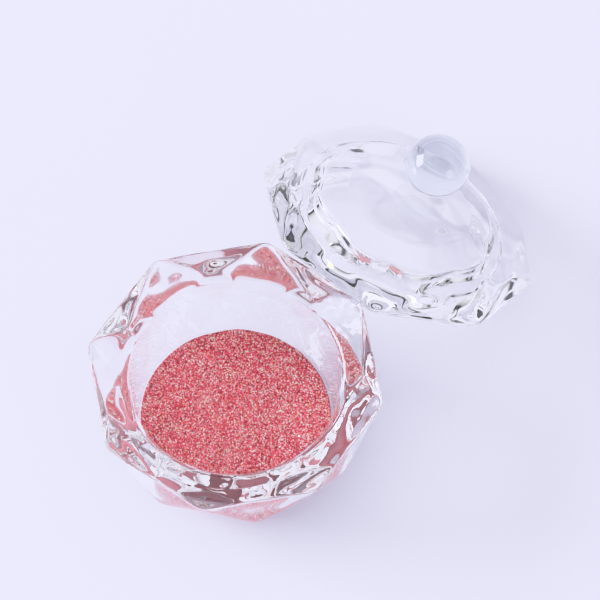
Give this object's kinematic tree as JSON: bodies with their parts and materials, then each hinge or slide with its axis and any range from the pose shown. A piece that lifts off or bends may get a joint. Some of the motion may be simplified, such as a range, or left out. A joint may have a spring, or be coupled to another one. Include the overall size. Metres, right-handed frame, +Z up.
{
  "type": "dappen dish",
  "caption": "Faceted clear glass dappen dish with a round bowl of glitter powder and a loose faceted lid with a ball knob, leaning on the rim.",
  "frame": {"origin": "middle of the cup's foot, on the surface that it stands on", "axes": "+Z up along the cup's axis; the lid lies off towards +X and +Y"},
  "size_m": [0.0747, 0.0786, 0.0289],
  "materials": {
    "cup_glass": "clear pressed crystal glass, fire-polished",
    "powder": "coral pink glitter powder",
    "lid_glass": "clear pressed crystal glass, fire-polished",
    "knob_glass": "clear polished glass ball"
  },
  "bodies": {
    "cup": {"cup_glass": "cup_glass", "powder_fill": "powder"},
    "lid": {"lid_glass": "lid_glass", "knob_ball": "knob_glass"}
  },
  "joints": [
    {"name": "lid_lift", "type": "slide", "parent": "cup", "child": "lid", "axis": [0, 0, 1], "range_m": [0, 0.06]}
  ]
}
